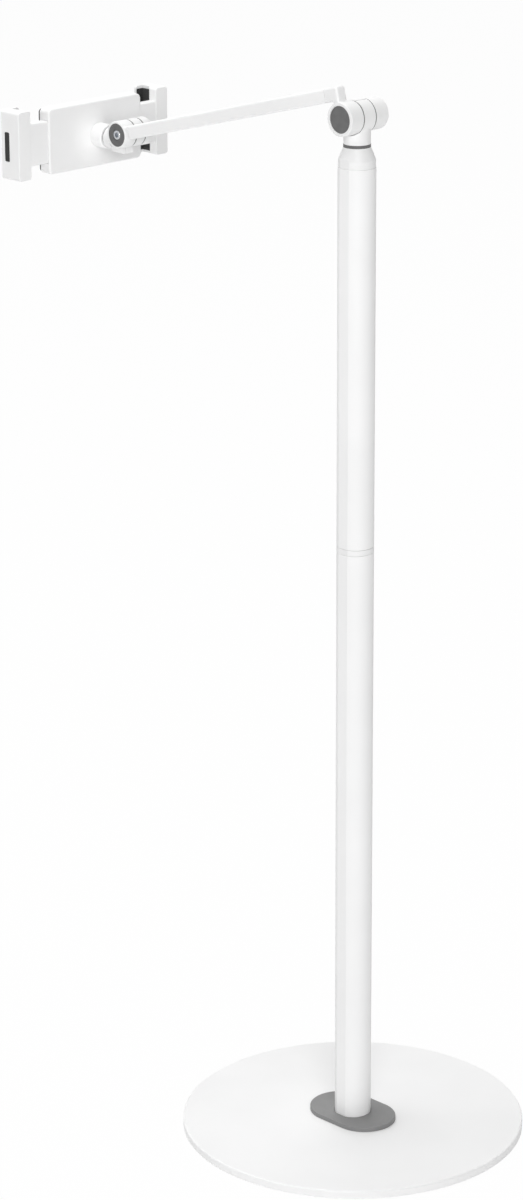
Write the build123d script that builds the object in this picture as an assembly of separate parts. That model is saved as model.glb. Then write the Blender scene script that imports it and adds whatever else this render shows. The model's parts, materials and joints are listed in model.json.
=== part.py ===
# Tablet floor stand: a weighted round base, a two-piece pole, a swivelling head,
# a tilting arm and a sprung clamp that turns, tilts and grips a tablet.
# Millimetres. The floor is z = 0 and the pole stands on the z axis.
# The arm reaches towards -Y, and the hinge barrels lie along X.
from math import asin, atan2, ceil, cos, degrees, floor, pi, radians, sin, sqrt
import os

from build123d import *

# Base
base_diameter = 350.0
base_height = 9.0
cover_wall = 1.4
cover_edge_radius = 1.6
skirt_lift = 1.0
pad_thickness = 1.6
pad_inset = 5.0
weight_gap = 0.4

# Dark plate that the pole stands in
plate_length = 97.0
plate_width = 65.0
plate_thickness = 4.5
plate_edge_radius = 0.7
plate_screw_spacing = 70.0
plate_screw_diameter = 4.0
plate_screw_head_diameter = 8.0
plate_screw_cover = 1.2
pole_gap_in_plate = 0.4

# Pole
pole_diameter = 37.0
pole_across_flats = 35.0
tube_wall = 1.5
insert_gap = 0.05
insert_length = 34.0
foot_bolt_diameter = 10.0
foot_bolt_head_diameter = 20.0
foot_bolt_head_height = 2.8
foot_bolt_depth = 28.0
foot_bolt_socket = 8.0
foot_bolt_socket_depth = 2.0
foot_bolt_head_gap = 0.6
lower_seam_height = 618.0
collar_height = 6.3
collar_groove = 0.35
seam_chamfer = 0.2
seam_groove_depth = 1.0
joint_stud_diameter = 18.0
joint_stud_length = 27.0
joint_stud_bore = 10.0

# Top adapter and swivel
adapter_straight = 7.4
adapter_height = 19.8
adapter_dome_reach = 0.51
adapter_dome_rise = 0.52
adapter_inset = 0.4
adapter_groove = 0.8
neck_diameter = 26.2
swivel_ring_thickness = 3.0
swivel_ring_lip = 0.2
swivel_bolt_diameter = 8.0
swivel_seat_wall = 9.4
swivel_cavity_diameter = 22.0
swivel_bolt_grip = 14.0
disc_spring_thickness = 1.2
disc_spring_rise = 0.6
bolt_head_across = 13.0
bolt_head_height = 5.3
running_gap = 0.05
clear_gap = 0.3

# Shoulder hinge
shoulder_height = 1050.2
shoulder_above_seam = 48.6
shoulder_diameter = 33.0
shoulder_lug_width = 14.8
shoulder_lug_centre = -1.1
shoulder_front_length = 16.0
shoulder_washer = 1.5
washer_inset = 0.4
shoulder_bolt_diameter = 8.0
shoulder_bolt_head_diameter = 13.0
shoulder_bolt_head_height = 8.0
shoulder_bolt_socket = 6.0
shoulder_bolt_socket_depth = 4.0
bolt_tip = 1.5
shoulder_bush_diameter = 14.0
shoulder_disc_diameter = 26.2
shoulder_disc_thickness = 2.4
disc_sink = 0.5
disc_gap = 0.1
disc_chamfer = 0.3
cap_end_gap = 1.0
shoulder_cap_diameter = 31.0
shoulder_cap_length = 18.4
shoulder_cap_round = 2.6
shoulder_nut_height = 6.5
lug_slit = 1.2
lug_slit_turn = 12.0
barrel_gap = 0.5
barrel_edge_radius = 1.0

# Arm
arm_reach = 320.0
arm_drop = 10.6
arm_offset = 24.5
arm_height = 14.0
arm_width = 12.5
arm_corner = 3.0
arm_wall = 1.4
arm_centre = 15.2
arm_start = 16.5
arm_root_length = 17.0
arm_root_round = 2.8
arm_root_foot = 7.5
arm_end_gap = 16.8
arm_seam = 0.9
tongue_length = 26.0

# Wrist hinge
wrist_diameter = 27.8
wrist_lug_width = 11.0
wrist_lug_centre = 0.8
wrist_front_length = 14.1
wrist_washer = 1.6
wrist_bolt_diameter = 6.0
wrist_bolt_head_diameter = 10.2
wrist_bolt_head_height = 6.0
wrist_bolt_sink = 0.3
wrist_socket_across = 5.0
wrist_socket_depth = 4.0
wrist_bolt_chamfer = 0.5
wrist_ring_diameter = 23.4
wrist_ring_thickness = 2.6
wrist_bush_diameter = 11.0
wrist_cap_length = 10.0
wrist_cap_round = 2.0
wrist_nut_height = 5.0
wrist_nut_across = 10.0

# Neck and roll joint behind the clamp
holder_drop = 9.6
neck_end = 32.6
neck_block_start = 4.6
neck_block_end = 24.6
neck_block_height = 25.2
neck_block_round = 1.2
roll_neck_diameter = 22.0
roll_washer = 2.2
roll_washer_diameter = 19.4
roll_collar_diameter = 25.0
roll_collar_length = 15.8
roll_collar_chamfer = 0.9
roll_bolt_diameter = 6.0
roll_bolt_head_diameter = 10.0
roll_bolt_head_height = 5.0
roll_bolt_socket = 5.0
roll_bolt_socket_depth = 3.0
roll_seat_wall = 11.0
roll_cavity_diameter = 16.0
wall_under_thread = 1.0
flare_diameter = 62.0
flare_lip_diameter = 27.0

# Clamp body
body_width = 126.4
body_height = 66.8
body_corner = 5.0
body_edge_radius = 2.2
body_back = 55.3
shell_depth = 11.5
front_plate_thickness = 3.0
shell_wall = 2.1
front_pad_thickness = 2.5
front_pad_inset = 1.5
screw_inset = 9.0
shell_screw_diameter = 3.0
shell_screw_head_diameter = 5.6
shell_screw_head_height = 1.7
shell_screw_length = 10.0
screw_boss_diameter = 7.0

# Slides, rack and pinion
slide_height = 43.5
slide_depth = 8.5
slide_wall = 2.2
slide_gap = 0.3
slide_edge_radius = 2.0
tray_inner_end = 26.0
rack_end = 27.0
rack_root_start = 30.0
rack_root_end = 45.0
rack_depth = 4.6
rack_back = 0.3
gear_module = 1.0
pinion_teeth = 12
rack_addendum = 0.7
tooth_thinning = 0.12
pressure_angle = 20.0
rack_height = 5.7
pinion_post_diameter = 5.0
pinion_collar_diameter = 8.0
spring_diameter = 4.4
spring_eye_gap = 0.2
spring_eye_lap = 0.5
spring_wall = 0.7
spring_post_diameter = 3.0
spring_offset = 16.3
spring_shell_post = 18.0
spring_slide_post = 40.0

# Jaws
grip_width = 175.4
jaw_width = 14.5
jaw_height = 70.0
jaw_depth = 27.0
jaw_back_proud = 0.5
jaw_corner = 3.0
jaw_edge_radius = 1.0
flange_reach = 1.8
flange_depth = 11.5
flange_round = 2.5
jaw_pad_thickness = 2.0
lip_reach = 7.5
lip_thickness = 2.9
lip_pad_thickness = 1.0
slot_length = 30.0
slot_width = 7.2
slot_corner = 1.6
slot_front_inset = 9.0
slot_drop = 1.5
plug_gap = 0.2
plug_sink = 0.1
jaw_screw_diameter = 3.0
jaw_screw_head_diameter = 5.2
jaw_screw_head_height = 2.0
jaw_screw_depth = 9.0
jaw_screw_spacing = 24.0

# Which end face of an upright part, counted from below
bottom_end = 0
top_end = -1

# Worked out from the sizes above
spring_stack = 2 * (disc_spring_thickness + disc_spring_rise)
pole_radius = pole_diameter / 2
base_radius = base_diameter / 2
adapter_radius = pole_radius - adapter_inset
weight_top = base_height - cover_wall
plate_top = base_height + plate_thickness
foot_bolt_seat = pad_thickness + foot_bolt_head_gap + foot_bolt_head_height
upper_start = lower_seam_height + collar_height
adapter_seam_height = shoulder_height - shoulder_above_seam
adapter_top = adapter_seam_height + adapter_height
neck_start = adapter_top + swivel_ring_thickness
shoulder_radius = shoulder_diameter / 2
lug_front = shoulder_lug_centre + shoulder_lug_width / 2
lug_back = shoulder_lug_centre - shoulder_lug_width / 2
front_start = lug_front + shoulder_washer
front_face = front_start + shoulder_front_length
cap_start = lug_back - shoulder_washer
cap_end = cap_start - shoulder_cap_length
arm_pitch = arm_drop + degrees(asin(arm_offset / arm_reach))
arm_run = sqrt(arm_reach**2 - arm_offset**2)
arm_level = shoulder_height + arm_offset
wrist_y = -arm_reach * cos(radians(arm_drop))
wrist_z = shoulder_height - arm_reach * sin(radians(arm_drop))
wrist_radius = wrist_diameter / 2
wrist_lug_front = wrist_lug_centre + wrist_lug_width / 2
wrist_lug_back = wrist_lug_centre - wrist_lug_width / 2
wrist_front_start = wrist_lug_front + wrist_washer
wrist_face = wrist_front_start + wrist_front_length
wrist_cap_start = wrist_lug_back - wrist_washer
wrist_cap_end = wrist_cap_start - wrist_cap_length
holder_z = wrist_z - holder_drop
roll_thread_end = wrist_y - wrist_radius - wall_under_thread
collar_start = wrist_y - neck_end - roll_washer
collar_foot = collar_start - roll_collar_length
back_y = wrist_y - body_back
shell_front = back_y - shell_depth
plate_front = shell_front - front_plate_thickness
pad_face = plate_front - front_pad_thickness
slide_back = back_y - shell_wall - slide_gap
slide_front = slide_back - slide_depth
rack_y_back = slide_back - slide_wall - rack_back
rack_y_front = rack_y_back - rack_depth
pitch_radius = gear_module * pinion_teeth / 2
rack_root = pitch_radius + 1.25 * gear_module
rack_top = rack_root + rack_height
jaw_inner = grip_width / 2
jaw_outer = jaw_inner + jaw_width
jaw_wall = jaw_inner + jaw_pad_thickness
flange_inner = jaw_inner - flange_reach
jaw_back = slide_back + jaw_back_proud
jaw_front = jaw_back - jaw_depth
flange_front = jaw_back - flange_depth
lip_face = jaw_front + lip_thickness + lip_pad_thickness
slot_y = jaw_front + slot_front_inset
jaw_screw_y = (slide_front + slide_back - slide_wall) / 2
pinion_back = rack_y_back - clear_gap
pinion_front = rack_y_front + clear_gap


def block(x0, x1, y0, y1, z0, z1):
    centre = Pos((x0 + x1) / 2, (y0 + y1) / 2, (z0 + z1) / 2)
    return centre * Box(abs(x1 - x0), abs(y1 - y0), abs(z1 - z0))


def rod_x(radius, x0, x1, y=0.0, z=0.0):
    return Pos((x0 + x1) / 2, y, z) * Rot(0, 90, 0) * Cylinder(radius, abs(x1 - x0))


def rod_y(radius, y0, y1, x=0.0, z=0.0):
    return Pos(x, (y0 + y1) / 2, z) * Rot(90, 0, 0) * Cylinder(radius, abs(y1 - y0))


def rod_z(radius, z0, z1, x=0.0, y=0.0):
    return Pos(x, y, (z0 + z1) / 2) * Cylinder(radius, abs(z1 - z0))


def hexagon_z(across, z0, z1, x=0.0, y=0.0):
    return Pos(x, y, z0) * extrude(RegularPolygon(across / sqrt(3), 6), z1 - z0)


def hexagon_x(across, x0, x1, y=0.0, z=0.0):
    prism = extrude(RegularPolygon(across / sqrt(3), 6), x1 - x0)
    return Pos(x0, y, z) * Rot(0, 90, 0) * prism


def rounded_prism_y(width, height, corner, y_back, y_front, x=0.0, z=0.0):
    # A rectangle with round corners, seen along Y, from y_back forwards to y_front.
    face = RectangleRounded(width, height, corner)
    return Pos(x, y_back, z) * Rot(90, 0, 0) * extrude(face, y_back - y_front)


def disc_spring(bore_radius, outer_radius, rise_up):
    # One coned spring washer on the z axis, standing on z = 0.
    low, high = (0.0, disc_spring_rise) if rise_up else (disc_spring_rise, 0.0)
    corners = [
        (bore_radius, low),
        (outer_radius, high),
        (outer_radius, high + disc_spring_thickness),
        (bore_radius, low + disc_spring_thickness),
    ]
    section = make_face(Polyline(*corners, close=True))
    return revolve(Plane.XZ * section, Axis.Z)


def disc_spring_pair(bore_radius, outer_radius):
    step = disc_spring_thickness + disc_spring_rise
    lower = disc_spring(bore_radius, outer_radius, False)
    return [lower, Pos(0, 0, step) * disc_spring(bore_radius, outer_radius, True)]


def outer_edges(shape, axis, tolerance=0.01):
    # The edges of the face that lies furthest along an axis.
    return shape.faces().sort_by(axis)[-1].edges()


def pole_profile(inset):
    # Round tube with a narrow flat on each X side.
    flats = Rectangle(pole_across_flats - 2 * inset, pole_diameter)
    return Circle(pole_radius - inset) & flats


def pole_prism(inset, z0, z1):
    return Pos(0, 0, z0) * extrude(pole_profile(inset), z1 - z0)


def eased(shape, *ends):
    # Chamfers the rim at the chosen ends of an upright part.
    faces = shape.faces().sort_by(Axis.Z)
    rims = [faces[end].edges() for end in ends]
    return chamfer([edge for rim in rims for edge in rim], seam_chamfer)


def tube(z0, z1, *seam_ends):
    return eased(pole_prism(0, z0, z1), *seam_ends) - pole_prism(tube_wall, z0, z1)


def tube_insert(z0, z1):
    return pole_prism(tube_wall + insert_gap, z0, z1)


def plate_screw_places():
    return [(0, plate_screw_spacing / 2), (0, -plate_screw_spacing / 2)]


def base_pad():
    return rod_z(base_radius - pad_inset, 0, pad_thickness)


def base_weight():
    disc = rod_z(base_radius - cover_wall - weight_gap, pad_thickness, weight_top)
    head_room = foot_bolt_head_diameter / 2 + foot_bolt_head_gap
    disc -= rod_z(head_room, pad_thickness, foot_bolt_seat)
    disc -= rod_z(foot_bolt_diameter / 2 + clear_gap, pad_thickness, weight_top)
    for x, y in plate_screw_places():
        disc -= rod_z(plate_screw_diameter / 2 + clear_gap, pad_thickness, weight_top, x, y)
        cone = countersink(plate_screw_head_diameter / 2 + clear_gap)
        disc -= Pos(x, y, pad_thickness) * cone
    return disc


def countersink(top_radius):
    # A cone that narrows upwards from z = 0, for screws driven from below.
    depth = top_radius - plate_screw_diameter / 2
    return Pos(0, 0, depth / 2) * Cone(top_radius, plate_screw_diameter / 2, depth)


def base_cover():
    outer = rod_z(base_radius, skirt_lift, base_height)
    outer = fillet(outer_edges(outer, Axis.Z), cover_edge_radius)
    outer -= rod_z(base_radius - cover_wall, skirt_lift, weight_top)
    outer -= pole_prism(-2 * pole_gap_in_plate, skirt_lift, base_height)
    for x, y in plate_screw_places():
        outer -= rod_z(plate_screw_diameter / 2 + clear_gap, skirt_lift, base_height, x, y)
    return outer


def socket_plate():
    face = SlotOverall(plate_length, plate_width, rotation=90)
    plate = Pos(0, 0, base_height) * extrude(face, plate_thickness)
    plate = fillet(outer_edges(plate, Axis.Z), plate_edge_radius)
    plate -= pole_prism(-pole_gap_in_plate, base_height, plate_top)
    for x, y in plate_screw_places():
        screw_top = plate_top - plate_screw_cover
        plate -= rod_z(plate_screw_diameter / 2, base_height, screw_top, x, y)
    return plate


def plate_screws():
    head_base = pad_thickness + clear_gap
    screws = []
    for x, y in plate_screw_places():
        shank = rod_z(plate_screw_diameter / 2, head_base, plate_top - plate_screw_cover, x, y)
        screws.append(shank + Pos(x, y, head_base) * countersink(plate_screw_head_diameter / 2))
    return Compound(children=screws)


def foot_plug():
    plug = tube_insert(weight_top, weight_top + insert_length)
    return plug - rod_z(foot_bolt_diameter / 2, weight_top, weight_top + insert_length)


def foot_bolt():
    head_start = foot_bolt_seat - foot_bolt_head_height
    head = rod_z(foot_bolt_head_diameter / 2, head_start, foot_bolt_seat)
    head -= hexagon_z(foot_bolt_socket, head_start, head_start + foot_bolt_socket_depth)
    return head + rod_z(foot_bolt_diameter / 2, foot_bolt_seat, weight_top + foot_bolt_depth)


def lower_tube():
    return tube(weight_top, lower_seam_height, top_end)


def joint_socket():
    start = lower_seam_height - insert_length
    socket = tube_insert(start, lower_seam_height)
    return socket - rod_z(joint_stud_diameter / 2, start, lower_seam_height)


def joint_stud():
    # The collar meets each tube on a narrower land, which leaves a fine groove.
    low, high = lower_seam_height + collar_groove, upper_start - collar_groove
    collar = eased(pole_prism(0, low, high), bottom_end, top_end)
    collar += pole_prism(seam_groove_depth, lower_seam_height, upper_start)
    spigot = tube_insert(upper_start, upper_start + insert_length)
    stud_start = lower_seam_height - joint_stud_length
    stud = rod_z(joint_stud_diameter / 2, stud_start, lower_seam_height)
    bore = rod_z(joint_stud_bore / 2, stud_start, upper_start + insert_length)
    return collar + spigot + stud - bore


def upper_tube():
    return tube(upper_start, adapter_seam_height, bottom_end, top_end)


def top_adapter():
    foot = adapter_seam_height + adapter_groove
    shoulder = adapter_seam_height + adapter_straight
    neck_radius = neck_diameter / 2
    rise = adapter_top - shoulder
    waist_radius = neck_radius + (adapter_radius - neck_radius) * adapter_dome_reach
    waist = (waist_radius, shoulder + rise * adapter_dome_rise)
    side = Polyline(
        (0, adapter_top),
        (0, foot),
        (adapter_radius, foot),
        (adapter_radius, shoulder),
    )
    dome = ThreePointArc((adapter_radius, shoulder), waist, (neck_radius, adapter_top))
    closing = Line((neck_radius, adapter_top), (0, adapter_top))
    body = revolve(Plane.XZ * make_face(side + dome + closing), Axis.Z)
    half_flats = pole_across_flats / 2 - adapter_inset
    body &= block(
        -half_flats, half_flats, -pole_radius, pole_radius, foot, adapter_top
    )
    body = eased(body, bottom_end) + pole_prism(seam_groove_depth, adapter_seam_height, foot)
    body += tube_insert(adapter_seam_height - insert_length, adapter_seam_height)
    seat = adapter_top - swivel_seat_wall
    cavity_start = adapter_seam_height - insert_length
    body -= rod_z(swivel_cavity_diameter / 2, cavity_start, seat)
    return body - rod_z(swivel_bolt_diameter / 2 + running_gap, seat, adapter_top)


def swivel_ring():
    ring = rod_z(neck_diameter / 2 + swivel_ring_lip, adapter_top, neck_start)
    return ring - rod_z(swivel_bolt_diameter / 2 + clear_gap, adapter_top, neck_start)


def swivel_disc_springs():
    bore = swivel_bolt_diameter / 2 + clear_gap
    pair = disc_spring_pair(bore, swivel_cavity_diameter / 2 - 2 * clear_gap)
    lift = Pos(0, 0, adapter_top - swivel_seat_wall - spring_stack)
    return Compound(children=[lift * spring for spring in pair])


def swivel_bolt():
    head_top = adapter_top - swivel_seat_wall - spring_stack
    head = hexagon_z(bolt_head_across, head_top - bolt_head_height, head_top)
    return head + rod_z(swivel_bolt_diameter / 2, head_top, neck_start + swivel_bolt_grip)


def swivel_head():
    neck = rod_z(neck_diameter / 2, neck_start, shoulder_height)
    room_front = rod_x(
        shoulder_radius + barrel_gap, lug_front, lug_front + neck_diameter, z=shoulder_height
    )
    room_washer = rod_x(
        shoulder_radius + barrel_gap, cap_start - clear_gap, lug_back, z=shoulder_height
    )
    room_cap = rod_x(
        shoulder_cap_diameter / 2 + barrel_gap, cap_start - neck_diameter, lug_back,
        z=shoulder_height,
    )
    neck = neck - room_front - room_washer - room_cap
    lug = rod_x(shoulder_radius, lug_back, lug_front, z=shoulder_height)
    head = neck + lug
    head -= rod_x(shoulder_bush_diameter / 2, lug_back, lug_front, z=shoulder_height)
    head -= rod_z(swivel_bolt_diameter / 2, neck_start, neck_start + swivel_bolt_grip)
    slit_top = shoulder_height + shoulder_radius + 1
    slit = block(lug_back, lug_front, -lug_slit / 2, lug_slit / 2, shoulder_height, slit_top)
    return head - slit.rotate(Axis((0, 0, shoulder_height), (1, 0, 0)), -lug_slit_turn)


def shoulder_bush():
    sleeve = rod_x(shoulder_bush_diameter / 2, lug_back, lug_front, z=shoulder_height)
    bore = shoulder_bolt_diameter / 2 + running_gap
    return sleeve - rod_x(bore, lug_back, lug_front, z=shoulder_height)


def shoulder_washers():
    rings = []
    for x0, x1 in ((lug_front, front_start), (cap_start, lug_back)):
        ring = rod_x(shoulder_radius - washer_inset, x0, x1, z=shoulder_height)
        bore = shoulder_bolt_diameter / 2 + clear_gap
        rings.append(ring - rod_x(bore, x0, x1, z=shoulder_height))
    return Compound(children=rings)


def pitched(shape):
    # Parts of the arm are drawn with the arm level and turned down to its pitch.
    return shape.rotate(Axis((0, 0, shoulder_height), (1, 0, 0)), arm_pitch)


def arm_bar(y0, y1, inset=0.0):
    # A length of the arm's rounded section, with the arm level.
    face = RectangleRounded(arm_width - 2 * inset, arm_height - 2 * inset, arm_corner - inset)
    prism = extrude(face, abs(y1 - y0))
    return Pos(arm_centre, max(y0, y1), arm_level) * Rot(90, 0, 0) * prism


def shoulder_knuckle():
    barrel = rod_x(shoulder_radius, front_start, front_face, z=shoulder_height)
    barrel = fillet(outer_edges(barrel, Axis.X), barrel_edge_radius)
    root_end = -arm_start + arm_root_length
    foot = block(
        arm_centre - arm_width / 2, arm_centre + arm_width / 2,
        root_end - arm_root_foot, root_end, shoulder_height + shoulder_radius / 2, arm_level,
    )
    root = arm_bar(-arm_start, root_end) + foot
    crown = root.faces().sort_by(Axis.Y)[-1].edges()
    keep_low = crown.sort_by(Axis.Z)[0]
    root = fillet([edge for edge in crown if edge is not keep_low], arm_root_round)
    tongue = arm_bar(-arm_start - tongue_length, -arm_start, arm_wall + insert_gap)
    body = barrel + pitched(root + tongue)
    disc_room = shoulder_disc_thickness + disc_sink
    body -= rod_x(
        shoulder_disc_diameter / 2 + disc_gap, front_face - disc_room, front_face,
        z=shoulder_height,
    )
    head_end = front_face - disc_room - shoulder_bolt_head_height - clear_gap
    body -= rod_x(
        shoulder_bolt_head_diameter / 2 + clear_gap, head_end, front_face, z=shoulder_height
    )
    bore = shoulder_bolt_diameter / 2 + running_gap
    return body - rod_x(bore, front_start, front_face, z=shoulder_height)


def shoulder_disc():
    back = front_face - disc_sink - shoulder_disc_thickness
    disc = rod_x(shoulder_disc_diameter / 2, back, front_face - disc_sink, z=shoulder_height)
    return chamfer(outer_edges(disc, Axis.X), disc_chamfer)


def shoulder_bolt():
    head_back = front_face - disc_sink - shoulder_disc_thickness - shoulder_bolt_head_height
    head_back -= clear_gap
    head_front = head_back + shoulder_bolt_head_height
    head = rod_x(shoulder_bolt_head_diameter / 2, head_back, head_front, z=shoulder_height)
    socket_back = head_front - shoulder_bolt_socket_depth
    head -= hexagon_x(shoulder_bolt_socket, socket_back, head_front, z=shoulder_height)
    tip = cap_start - spring_stack - shoulder_nut_height - bolt_tip
    return head + rod_x(shoulder_bolt_diameter / 2, tip, head_back, z=shoulder_height)


def shoulder_disc_springs():
    bore = shoulder_bolt_diameter / 2 + clear_gap
    pair = disc_spring_pair(bore, bolt_head_across / 2)
    place = Pos(cap_start, 0, shoulder_height) * Rot(0, -90, 0)
    return Compound(children=[place * spring for spring in pair])


def shoulder_nut():
    start = cap_start - spring_stack - shoulder_nut_height
    nut = hexagon_x(bolt_head_across, start, start + shoulder_nut_height, z=shoulder_height)
    bore = shoulder_bolt_diameter / 2
    return nut - rod_x(bore, start, start + shoulder_nut_height, z=shoulder_height)


def shoulder_cap():
    cap = rod_x(shoulder_cap_diameter / 2, cap_end, cap_start, z=shoulder_height)
    end_rim = cap.faces().sort_by(Axis.X)[0].edges()
    cap = fillet(end_rim, shoulder_cap_round)
    depth = spring_stack + shoulder_nut_height + bolt_tip + cap_end_gap
    nut_corner = bolt_head_across / sqrt(3) + insert_gap
    return cap - rod_x(nut_corner, cap_start - depth, cap_start, z=shoulder_height)


def arm_tube():
    far = -arm_run + arm_end_gap + arm_seam
    near = -arm_start - arm_seam
    return pitched(arm_bar(far, near) - arm_bar(far, near, arm_wall))


def wrist_knuckle():
    barrel = rod_x(wrist_radius, wrist_front_start, wrist_face, wrist_y, wrist_z)
    barrel = fillet(outer_edges(barrel, Axis.X), barrel_edge_radius)
    far = -arm_run + arm_end_gap
    web = arm_bar(-arm_run, far) + arm_bar(far, far + tongue_length, arm_wall + insert_gap)
    body = barrel + pitched(web)
    ring_room = wrist_face - wrist_ring_thickness
    ring_hole = wrist_ring_diameter / 2 + disc_gap
    body -= rod_x(ring_hole, ring_room, wrist_face, wrist_y, wrist_z)
    head_back = wrist_face - wrist_bolt_sink - wrist_bolt_head_height
    head_room = wrist_bolt_head_diameter / 2 + clear_gap
    body -= rod_x(head_room, head_back, wrist_face, wrist_y, wrist_z)
    bore = wrist_bolt_diameter / 2 + running_gap
    return body - rod_x(bore, wrist_front_start, wrist_face, wrist_y, wrist_z)


def wrist_ring():
    start = wrist_face - wrist_ring_thickness
    ring = rod_x(wrist_ring_diameter / 2, start, wrist_face, wrist_y, wrist_z)
    ring = chamfer(outer_edges(ring, Axis.X), disc_chamfer)
    hole = wrist_bolt_head_diameter / 2 + clear_gap
    return ring - rod_x(hole, start, wrist_face, wrist_y, wrist_z)


def wrist_bolt():
    head_front = wrist_face - wrist_bolt_sink
    head_back = head_front - wrist_bolt_head_height
    head = rod_x(wrist_bolt_head_diameter / 2, head_back, head_front, wrist_y, wrist_z)
    head = chamfer(outer_edges(head, Axis.X), wrist_bolt_chamfer)
    socket_back = head_front - wrist_socket_depth
    head -= hexagon_x(wrist_socket_across, socket_back, head_front, wrist_y, wrist_z)
    tip = wrist_cap_start - disc_spring_thickness - wrist_nut_height - bolt_tip
    return head + rod_x(wrist_bolt_diameter / 2, tip, head_back, wrist_y, wrist_z)


def wrist_washers():
    rings = []
    for x0, x1 in (
        (wrist_lug_front, wrist_front_start),
        (wrist_cap_start, wrist_lug_back),
    ):
        ring = rod_x(wrist_radius - washer_inset, x0, x1, wrist_y, wrist_z)
        bore = wrist_bolt_diameter / 2 + clear_gap
        rings.append(ring - rod_x(bore, x0, x1, wrist_y, wrist_z))
    return Compound(children=rings)


def wrist_nut():
    back = wrist_cap_start - disc_spring_thickness - wrist_nut_height
    front = back + wrist_nut_height
    nut = hexagon_x(wrist_nut_across, back, front, wrist_y, wrist_z)
    return nut - rod_x(wrist_bolt_diameter / 2, back, front, wrist_y, wrist_z)


def wrist_spring_washer():
    outer = wrist_nut_across / 2
    back = wrist_cap_start - disc_spring_thickness
    ring = rod_x(outer, back, wrist_cap_start, wrist_y, wrist_z)
    bore = wrist_bolt_diameter / 2 + clear_gap
    return ring - rod_x(bore, back, wrist_cap_start, wrist_y, wrist_z)


def wrist_cap():
    cap = rod_x(wrist_radius, wrist_cap_end, wrist_cap_start, wrist_y, wrist_z)
    cap = fillet(cap.faces().sort_by(Axis.X)[0].edges(), wrist_cap_round)
    depth = disc_spring_thickness + wrist_nut_height + bolt_tip + cap_end_gap / 2
    nut_corner = wrist_nut_across / sqrt(3) + insert_gap
    return cap - rod_x(nut_corner, wrist_cap_start - depth, wrist_cap_start, wrist_y, wrist_z)


def holder_neck():
    lug = rod_x(wrist_radius, wrist_lug_back, wrist_lug_front, wrist_y, wrist_z)
    half = neck_block_height / 2
    cheek = block(
        wrist_lug_back, wrist_lug_front, wrist_y - neck_block_end, wrist_y - neck_block_start,
        holder_z - half, holder_z + half,
    )
    cheek = fillet(cheek.edges().filter_by(Axis.X), neck_block_round)
    neck_back = wrist_y - neck_block_end + neck_block_round
    neck = rod_y(roll_neck_diameter / 2, wrist_y - neck_end, neck_back, z=holder_z)
    body = lug + cheek + neck
    body -= rod_x(wrist_bush_diameter / 2, wrist_lug_back, wrist_lug_front, wrist_y, wrist_z)
    return body - rod_y(roll_bolt_diameter / 2, wrist_y - neck_end, roll_thread_end, z=holder_z)


def wrist_bush():
    sleeve = rod_x(wrist_bush_diameter / 2, wrist_lug_back, wrist_lug_front, wrist_y, wrist_z)
    bore = wrist_bolt_diameter / 2 + running_gap
    return sleeve - rod_x(bore, wrist_lug_back, wrist_lug_front, wrist_y, wrist_z)


def roll_washer_ring():
    back = wrist_y - neck_end
    ring = rod_y(roll_washer_diameter / 2, back - roll_washer, back, z=holder_z)
    bore = roll_bolt_diameter / 2 + clear_gap
    return ring - rod_y(bore, back - roll_washer, back, z=holder_z)


def roll_seat():
    return collar_start - roll_seat_wall


def roll_bolt():
    head_back = roll_seat() - spring_stack
    head_front = head_back - roll_bolt_head_height
    head = rod_y(roll_bolt_head_diameter / 2, head_front, head_back, z=holder_z)
    hexagon = extrude(RegularPolygon(roll_bolt_socket / sqrt(3), 6), roll_bolt_socket_depth)
    head -= Pos(0, head_front + roll_bolt_socket_depth, holder_z) * Rot(90, 0, 0) * hexagon
    return head + rod_y(roll_bolt_diameter / 2, head_back, roll_thread_end - bolt_tip, z=holder_z)


def roll_disc_springs():
    bore = roll_bolt_diameter / 2 + clear_gap
    pair = disc_spring_pair(bore, roll_cavity_diameter / 2 - 2 * clear_gap)
    place = Pos(0, roll_seat(), holder_z) * Rot(90, 0, 0)
    return Compound(children=[place * spring for spring in pair])


def screw_places():
    x = body_width / 2 - screw_inset
    z = body_height / 2 - screw_inset / 2 - shell_wall
    return [(sx * x, sz * z) for sx in (1, -1) for sz in (1, -1)]


def flare():
    # The body's back swells up to the collar in one hollow curve.
    foot = flare_diameter / 2
    lip = flare_lip_diameter / 2
    rise = collar_foot - back_y
    run = foot - lip
    radius = (run**2 + rise**2) / (2 * rise)
    half = asin(run / radius) / 2
    middle = (foot - radius * sin(half), radius * (1 - cos(half)))
    edge = ThreePointArc((foot, 0), middle, (lip, rise))
    rest = Polyline((lip, rise), (0, rise), (0, 0), (foot, 0))
    body = revolve(Plane.XZ * make_face(edge + rest), Axis.Z)
    return Pos(0, back_y, holder_z) * Rot(-90, 0, 0) * body


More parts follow.
